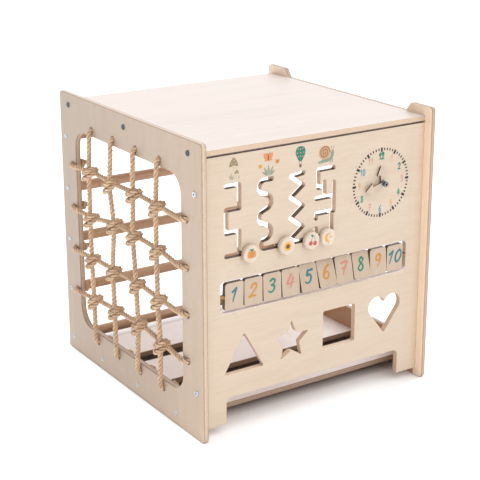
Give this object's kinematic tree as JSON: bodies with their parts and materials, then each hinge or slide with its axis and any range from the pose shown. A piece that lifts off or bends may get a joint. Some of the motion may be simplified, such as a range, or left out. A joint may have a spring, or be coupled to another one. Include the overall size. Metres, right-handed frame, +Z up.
{
  "type": "activity cube",
  "caption": "Standing plywood play cube with a rope net side, rung ladder back, and a front of turning number tiles, peg mazes, shape holes and a toy clock.",
  "frame": {"origin": "on the floor, under the centre of the whole cube's bounding box, net and bolt heads included", "axes": "+Z up; -Y is the front with the mazes, numbers and clock; +Y is the rung ladder; -X is the rope net's side, +X the open side"},
  "size_m": [0.7232, 0.724, 0.74],
  "materials": {
    "birch_plywood": "clear matt lacquer",
    "beech_dowel": "sanded, clear matt lacquer",
    "tile_plywood": "clear matt lacquer, dark cut edges",
    "turned_wood": "sanded, clear matt lacquer",
    "hand_plywood": "clear matt lacquer, dark cut edges",
    "jute_rope": "three-strand twisted fibre",
    "zinc_steel": "zinc plated"
  },
  "bodies": {
    "cube": {"left_side_panel": "birch_plywood", "right_side_panel": "birch_plywood", "front_panel": "birch_plywood", "top_board": "birch_plywood", "floor_board_1": "birch_plywood", "floor_board_2": "birch_plywood", "floor_board_3": "birch_plywood", "rung_1": "beech_dowel", "rung_2": "beech_dowel", "rung_3": "beech_dowel", "rung_4": "beech_dowel", "rung_5": "beech_dowel", "number_rod": "beech_dowel", "floor_board_dowels": "beech_dowel", "rope_vertical_1": "jute_rope", "rope_vertical_2": "jute_rope", "rope_vertical_3": "jute_rope", "rope_vertical_4": "jute_rope", "rope_horizontal_1": "jute_rope", "rope_horizontal_2": "jute_rope", "rope_horizontal_3": "jute_rope", "rope_horizontal_4": "jute_rope", "top_board_bolts": "zinc_steel", "front_panel_bolts": "zinc_steel", "rung_screws": "zinc_steel", "floor_board_screws": "zinc_steel", "top_barrel_nuts": "zinc_steel", "panel_barrel_nuts": "zinc_steel", "clock_bolt": "zinc_steel", "clock_nut": "zinc_steel", "clock_washers": "zinc_steel"},
    "number_tile_1": {"number_tile_1": "tile_plywood"},
    "number_tile_2": {"number_tile_2": "tile_plywood"},
    "number_tile_3": {"number_tile_3": "tile_plywood"},
    "number_tile_4": {"number_tile_4": "tile_plywood"},
    "number_tile_5": {"number_tile_5": "tile_plywood"},
    "number_tile_6": {"number_tile_6": "tile_plywood"},
    "number_tile_7": {"number_tile_7": "tile_plywood"},
    "number_tile_8": {"number_tile_8": "tile_plywood"},
    "number_tile_9": {"number_tile_9": "tile_plywood"},
    "number_tile_10": {"number_tile_10": "tile_plywood"},
    "hour_hand": {"hour_hand": "hand_plywood"},
    "minute_hand": {"minute_hand": "hand_plywood"},
    "maze_peg_1": {"maze_peg_1": "turned_wood"},
    "maze_knob_1": {"maze_knob_1": "turned_wood"},
    "maze_peg_2": {"maze_peg_2": "turned_wood"},
    "maze_knob_2": {"maze_knob_2": "turned_wood"},
    "maze_peg_3": {"maze_peg_3": "turned_wood"},
    "maze_knob_3": {"maze_knob_3": "turned_wood"},
    "maze_peg_4": {"maze_peg_4": "turned_wood"},
    "maze_knob_4": {"maze_knob_4": "turned_wood"}
  },
  "joints": [
    {"name": "number_tile_1_turn", "type": "hinge", "parent": "cube", "child": "number_tile_1", "pos_m": [-0.2345, -0.331, 0.35075], "axis": [1, 0, 0], "continuous": true},
    {"name": "number_tile_2_turn", "type": "hinge", "parent": "cube", "child": "number_tile_2", "pos_m": [-0.1795, -0.331, 0.35075], "axis": [1, 0, 0], "continuous": true},
    {"name": "number_tile_3_turn", "type": "hinge", "parent": "cube", "child": "number_tile_3", "pos_m": [-0.1245, -0.331, 0.35075], "axis": [1, 0, 0], "continuous": true},
    {"name": "number_tile_4_turn", "type": "hinge", "parent": "cube", "child": "number_tile_4", "pos_m": [-0.0695, -0.331, 0.35075], "axis": [1, 0, 0], "continuous": true},
    {"name": "number_tile_5_turn", "type": "hinge", "parent": "cube", "child": "number_tile_5", "pos_m": [-0.0145, -0.331, 0.35075], "axis": [1, 0, 0], "continuous": true},
    {"name": "number_tile_6_turn", "type": "hinge", "parent": "cube", "child": "number_tile_6", "pos_m": [0.0405, -0.331, 0.35075], "axis": [1, 0, 0], "continuous": true},
    {"name": "number_tile_7_turn", "type": "hinge", "parent": "cube", "child": "number_tile_7", "pos_m": [0.0955, -0.331, 0.35075], "axis": [1, 0, 0], "continuous": true},
    {"name": "number_tile_8_turn", "type": "hinge", "parent": "cube", "child": "number_tile_8", "pos_m": [0.1505, -0.331, 0.35075], "axis": [1, 0, 0], "continuous": true},
    {"name": "number_tile_9_turn", "type": "hinge", "parent": "cube", "child": "number_tile_9", "pos_m": [0.2055, -0.331, 0.35075], "axis": [1, 0, 0], "continuous": true},
    {"name": "number_tile_10_turn", "type": "hinge", "parent": "cube", "child": "number_tile_10", "pos_m": [0.2605, -0.331, 0.35075], "axis": [1, 0, 0], "continuous": true},
    {"name": "hour_hand_turn", "type": "hinge", "parent": "cube", "child": "hour_hand", "pos_m": [0.2074, -0.3385, 0.5605], "axis": [0, 1, 0], "continuous": true},
    {"name": "minute_hand_turn", "type": "hinge", "parent": "cube", "child": "minute_hand", "pos_m": [0.2074, -0.3385, 0.5605], "axis": [0, 1, 0], "continuous": true},
    {"name": "maze_peg_1_slide", "type": "slide", "parent": "cube", "child": "maze_peg_1", "axis": [1, 0, 0], "range_m": [-0.0615, 0.0015]},
    {"name": "maze_knob_1_turn", "type": "hinge", "parent": "maze_peg_1", "child": "maze_knob_1", "pos_m": [-0.1956, -0.3385, 0.4518], "axis": [0, 1, 0], "continuous": true},
    {"name": "maze_peg_2_slide", "type": "slide", "parent": "cube", "child": "maze_peg_2", "axis": [1, 0, 0], "range_m": [-0.0575, 0.0009]},
    {"name": "maze_knob_2_turn", "type": "hinge", "parent": "maze_peg_2", "child": "maze_knob_2", "pos_m": [-0.0911, -0.3385, 0.4518], "axis": [0, 1, 0], "continuous": true},
    {"name": "maze_peg_3_slide", "type": "slide", "parent": "cube", "child": "maze_peg_3", "axis": [1, 0, 0], "range_m": [-0.029, 0.0009]},
    {"name": "maze_knob_3_turn", "type": "hinge", "parent": "maze_peg_3", "child": "maze_knob_3", "pos_m": [-0.0166, -0.3385, 0.4518], "axis": [0, 1, 0], "continuous": true},
    {"name": "maze_peg_4_slide", "type": "slide", "parent": "cube", "child": "maze_peg_4", "axis": [1, 0, 0], "range_m": [-0.004, 0.019]},
    {"name": "maze_knob_4_turn", "type": "hinge", "parent": "maze_peg_4", "child": "maze_knob_4", "pos_m": [0.0324, -0.3385, 0.4518], "axis": [0, 1, 0], "continuous": true}
  ]
}
